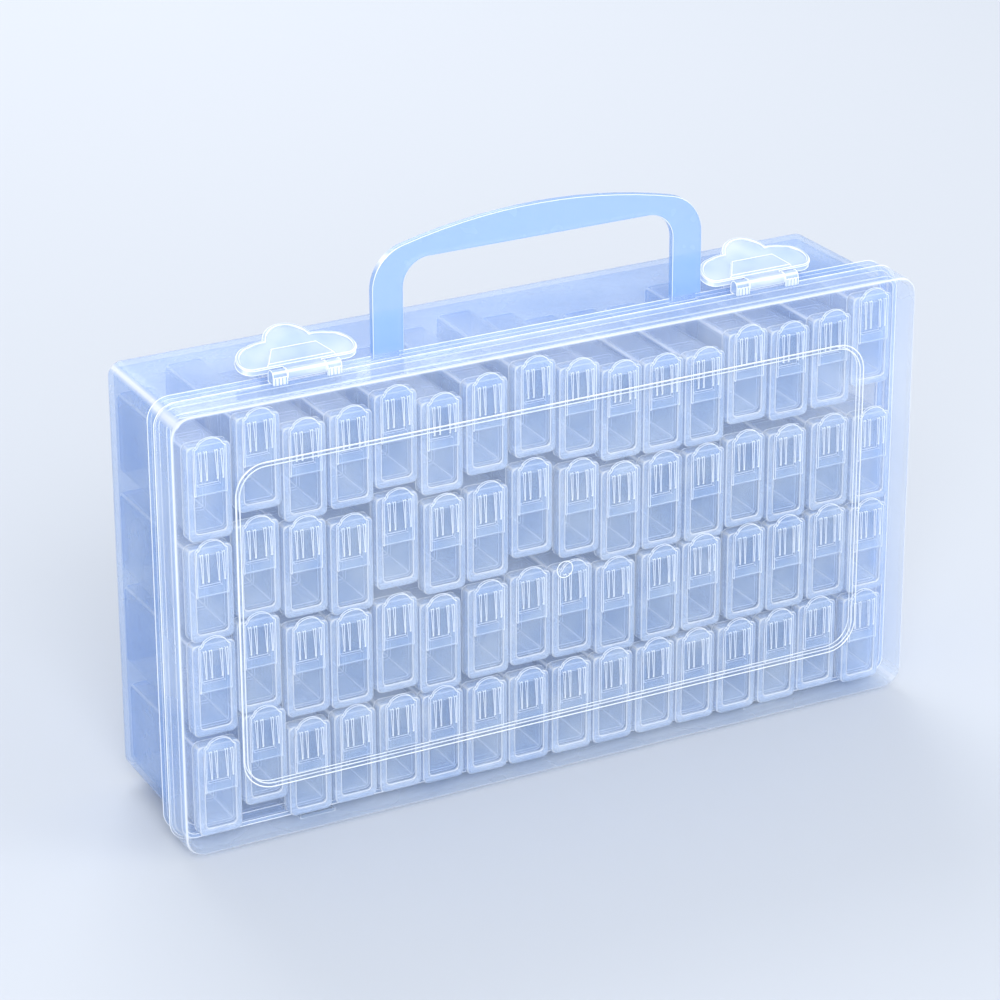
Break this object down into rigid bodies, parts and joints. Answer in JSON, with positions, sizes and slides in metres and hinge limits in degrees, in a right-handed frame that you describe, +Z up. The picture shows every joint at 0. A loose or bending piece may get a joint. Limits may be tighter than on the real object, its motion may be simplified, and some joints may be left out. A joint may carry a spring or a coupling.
{
  "type": "diamond painting storage case",
  "caption": "Flat translucent plastic carry case with a top handle, hinged lid and cloud-shaped latches, packed with upright small containers that have flip lids.",
  "frame": {"origin": "middle of the box drawn round the whole case, at its underside", "axes": "+X along the case, +Y from the clear lid at the front to the back wall, +Z up to the handle"},
  "size_m": [0.225, 0.0532, 0.1624],
  "materials": {
    "clear_lid": "clear injection-moulded polypropylene, slightly blue",
    "frosted_tray": "frosted translucent polypropylene",
    "white_latch": "milky translucent polypropylene",
    "clear_body": "clear polypropylene",
    "clear_cap": "clear polypropylene",
    "clear_flip_lid": "clear polypropylene"
  },
  "bodies": {
    "tray": {"base_tray": "frosted_tray", "row_1_container_body_set": "clear_body", "row_1_container_cap_set": "clear_cap", "row_1_flip_lid_set": "clear_flip_lid", "row_2_container_body_set": "clear_body", "row_2_container_cap_set": "clear_cap", "row_2_flip_lid_set": "clear_flip_lid", "row_3_container_body_set": "clear_body", "row_3_container_cap_set": "clear_cap", "row_3_flip_lid_set": "clear_flip_lid", "row_4_container_body_set": "clear_body", "row_4_container_cap_set": "clear_cap", "row_4_flip_lid_set": "clear_flip_lid"},
    "lid": {"lid": "clear_lid"},
    "latch_left": {"latch_left": "white_latch"},
    "latch_right": {"latch_right": "white_latch"},
    "loose_container_1": {"loose_container_body_1": "clear_body", "loose_container_cap_1": "clear_cap"},
    "loose_flip_lid_1": {"loose_flip_lid_1": "clear_flip_lid"},
    "loose_container_2": {"loose_container_body_2": "clear_body", "loose_container_cap_2": "clear_cap"},
    "loose_flip_lid_2": {"loose_flip_lid_2": "clear_flip_lid"},
    "loose_container_3": {"loose_container_body_3": "clear_body", "loose_container_cap_3": "clear_cap"},
    "loose_flip_lid_3": {"loose_flip_lid_3": "clear_flip_lid"},
    "loose_container_4": {"loose_container_body_4": "clear_body", "loose_container_cap_4": "clear_cap"},
    "loose_flip_lid_4": {"loose_flip_lid_4": "clear_flip_lid"},
    "loose_container_5": {"loose_container_body_5": "clear_body", "loose_container_cap_5": "clear_cap"},
    "loose_flip_lid_5": {"loose_flip_lid_5": "clear_flip_lid"},
    "loose_container_6": {"loose_container_body_6": "clear_body", "loose_container_cap_6": "clear_cap"},
    "loose_flip_lid_6": {"loose_flip_lid_6": "clear_flip_lid"}
  },
  "joints": [
    {"name": "lid_hinge", "type": "hinge", "parent": "tray", "child": "lid", "pos_m": [0, -0.01205, 0.00145], "axis": [1, 0, 0], "range_deg": [0, 165]},
    {"name": "latch_left_hinge", "type": "hinge", "parent": "lid", "child": "latch_left", "pos_m": [-0.0696, -0.01505, 0.1294], "axis": [1, 0, 0], "range_deg": [0, 120]},
    {"name": "latch_right_hinge", "type": "hinge", "parent": "lid", "child": "latch_right", "pos_m": [0.0696, -0.01505, 0.1294], "axis": [1, 0, 0], "range_deg": [0, 120]},
    {"name": "loose_container_1_slide", "type": "slide", "parent": "tray", "child": "loose_container_1", "axis": [0, -1, 0], "range_m": [0, 0.055]},
    {"name": "loose_flip_lid_1_hinge", "type": "hinge", "parent": "loose_container_1", "child": "loose_flip_lid_1", "pos_m": [-0.02025, -0.0232, 0.10669], "axis": [1, 0, 0], "range_deg": [0, 100]},
    {"name": "loose_container_2_slide", "type": "slide", "parent": "tray", "child": "loose_container_2", "axis": [0, -1, 0], "range_m": [0, 0.055]},
    {"name": "loose_flip_lid_2_hinge", "type": "hinge", "parent": "loose_container_2", "child": "loose_flip_lid_2", "pos_m": [0.07375, -0.0232, 0.10418], "axis": [1, 0, 0], "range_deg": [0, 100]},
    {"name": "loose_container_3_slide", "type": "slide", "parent": "tray", "child": "loose_container_3", "axis": [0, -1, 0], "range_m": [0, 0.055]},
    {"name": "loose_flip_lid_3_hinge", "type": "hinge", "parent": "loose_container_3", "child": "loose_flip_lid_3", "pos_m": [-0.04725, -0.0232, 0.07909], "axis": [1, 0, 0], "range_deg": [0, 100]},
    {"name": "loose_container_4_slide", "type": "slide", "parent": "tray", "child": "loose_container_4", "axis": [0, -1, 0], "range_m": [0, 0.055]},
    {"name": "loose_flip_lid_4_hinge", "type": "hinge", "parent": "loose_container_4", "child": "loose_flip_lid_4", "pos_m": [-0.00675, -0.0232, 0.07959], "axis": [1, 0, 0], "range_deg": [0, 100]},
    {"name": "loose_container_5_slide", "type": "slide", "parent": "tray", "child": "loose_container_5", "axis": [0, -1, 0], "range_m": [0, 0.055]},
    {"name": "loose_flip_lid_5_hinge", "type": "hinge", "parent": "loose_container_5", "child": "loose_flip_lid_5", "pos_m": [-0.07425, -0.0232, 0.04748], "axis": [1, 0, 0], "range_deg": [0, 100]},
    {"name": "loose_container_6_slide", "type": "slide", "parent": "tray", "child": "loose_container_6", "axis": [0, -1, 0], "range_m": [0, 0.055]},
    {"name": "loose_flip_lid_6_hinge", "type": "hinge", "parent": "loose_container_6", "child": "loose_flip_lid_6", "pos_m": [0.00575, -0.0232, 0.04698], "axis": [1, 0, 0], "range_deg": [0, 100]}
  ],
  "couplings": [
    {"joint": "loose_container_1_slide", "follows": "lid_hinge", "m_per_rad": 0.019},
    {"joint": "loose_flip_lid_1_hinge", "follows": "lid_hinge", "ratio": 0.6},
    {"joint": "loose_container_2_slide", "follows": "lid_hinge", "m_per_rad": 0.019},
    {"joint": "loose_flip_lid_2_hinge", "follows": "lid_hinge", "ratio": 0.6},
    {"joint": "loose_container_3_slide", "follows": "lid_hinge", "m_per_rad": 0.019},
    {"joint": "loose_flip_lid_3_hinge", "follows": "lid_hinge", "ratio": 0.6},
    {"joint": "loose_container_4_slide", "follows": "lid_hinge", "m_per_rad": 0.019},
    {"joint": "loose_flip_lid_4_hinge", "follows": "lid_hinge", "ratio": 0.6},
    {"joint": "loose_container_5_slide", "follows": "lid_hinge", "m_per_rad": 0.019},
    {"joint": "loose_flip_lid_5_hinge", "follows": "lid_hinge", "ratio": 0.6},
    {"joint": "loose_container_6_slide", "follows": "lid_hinge", "m_per_rad": 0.019},
    {"joint": "loose_flip_lid_6_hinge", "follows": "lid_hinge", "ratio": 0.6}
  ]
}
